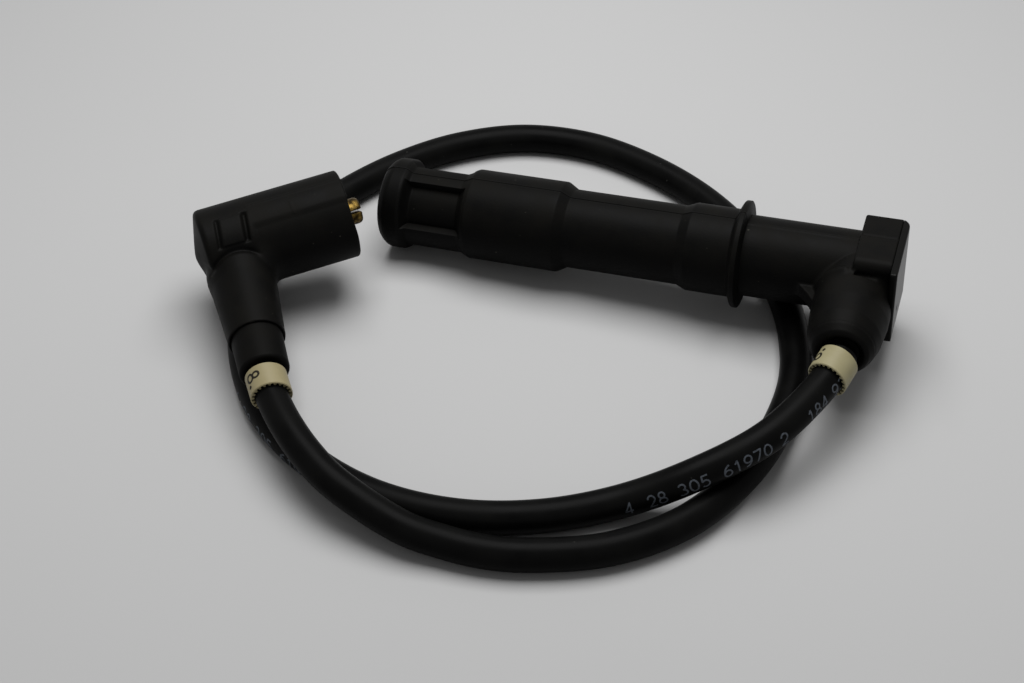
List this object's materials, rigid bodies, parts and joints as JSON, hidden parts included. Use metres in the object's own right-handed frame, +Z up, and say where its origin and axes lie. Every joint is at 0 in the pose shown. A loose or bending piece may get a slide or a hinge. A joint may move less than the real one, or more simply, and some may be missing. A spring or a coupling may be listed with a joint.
{
  "type": "spark plug wire",
  "caption": "Ignition lead coiled in a loose loop, with a long straight plug boot, an angled coil boot with a brass terminal, and toothed cream marker rings.",
  "frame": {"origin": "on the table under the centre of the boots' bounding box, the free lead and its rings left out", "axes": "+X along the plug boot in plan, from its mouth to its head; +Z up from the table"},
  "size_m": [0.1562, 0.1431, 0.0296],
  "materials": {
    "rubber": "satin moulded rubber, near black",
    "jacket": "smooth extruded rubber, near black",
    "cover": "smooth moulded plastic, near black",
    "cream": "semi-matt cream plastic",
    "nylon": "natural moulded nylon",
    "brass": "bright pressed brass",
    "steel": "bright spring wire",
    "ceramic": "glazed ceramic rod"
  },
  "bodies": {
    "root": {"plug_boot": "rubber", "plug_head_cover": "cover", "plug_core_tube": "nylon", "plug_terminal_cup": "brass", "plug_terminal_clip": "steel", "plug_spring": "steel", "plug_resistor": "ceramic", "plug_resistor_cap_lower": "brass", "plug_resistor_cap_upper": "brass", "plug_contact_rod": "brass", "plug_elbow_terminal": "brass", "plug_lead_end": "jacket", "coil_boot": "rubber", "coil_neck_sleeve": "rubber", "coil_terminal": "brass", "coil_terminal_collar": "nylon", "coil_elbow_terminal": "brass", "coil_lead_end": "jacket", "lead_cable": "jacket", "marker_ring_coil": "cream", "marker_ring_plug": "cream"}
  },
  "joints": []
}
